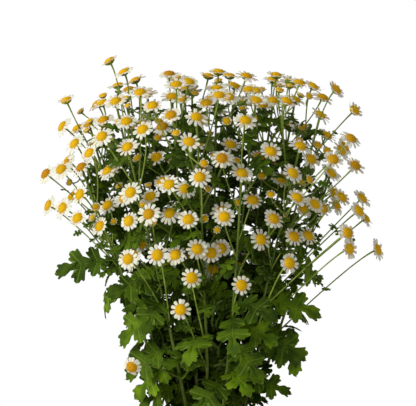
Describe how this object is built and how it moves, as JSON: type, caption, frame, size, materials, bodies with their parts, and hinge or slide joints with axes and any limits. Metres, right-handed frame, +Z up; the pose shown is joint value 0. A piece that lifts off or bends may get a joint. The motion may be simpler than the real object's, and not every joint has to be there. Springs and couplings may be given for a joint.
{
  "type": "potted feverfew",
  "caption": "Flowering herb in a plain round clay pot: leafy upright stems fan out of the soil to a dome of small white daisies with yellow middles.",
  "frame": {"origin": "centre of the pot's underside", "axes": "+Z up; -Y towards the front, the side of the plant with the most flowers; +X to the right as seen from the front"},
  "size_m": [0.3168, 0.2196, 0.4771],
  "materials": {
    "clay": "matte",
    "soil": "matte",
    "plant": "matte"
  },
  "bodies": {
    "root": {"pot": "clay", "soil": "soil", "flower_stem_01": "plant", "flower_stem_02": "plant", "flower_stem_03": "plant", "flower_stem_04": "plant", "flower_stem_05": "plant", "flower_stem_06": "plant", "flower_stem_07": "plant", "flower_stem_08": "plant", "flower_stem_09": "plant", "flower_stem_10": "plant", "flower_stem_11": "plant", "flower_stem_12": "plant", "flower_stem_13": "plant", "flower_stem_14": "plant", "flower_stem_15": "plant", "flower_stem_16": "plant", "flower_stem_17": "plant", "flower_stem_18": "plant", "flower_stem_19": "plant", "flower_stem_20": "plant", "flower_stem_21": "plant", "flower_stem_22": "plant", "flower_stem_23": "plant", "flower_stem_24": "plant", "flower_stem_25": "plant", "flower_stem_26": "plant"}
  },
  "joints": []
}
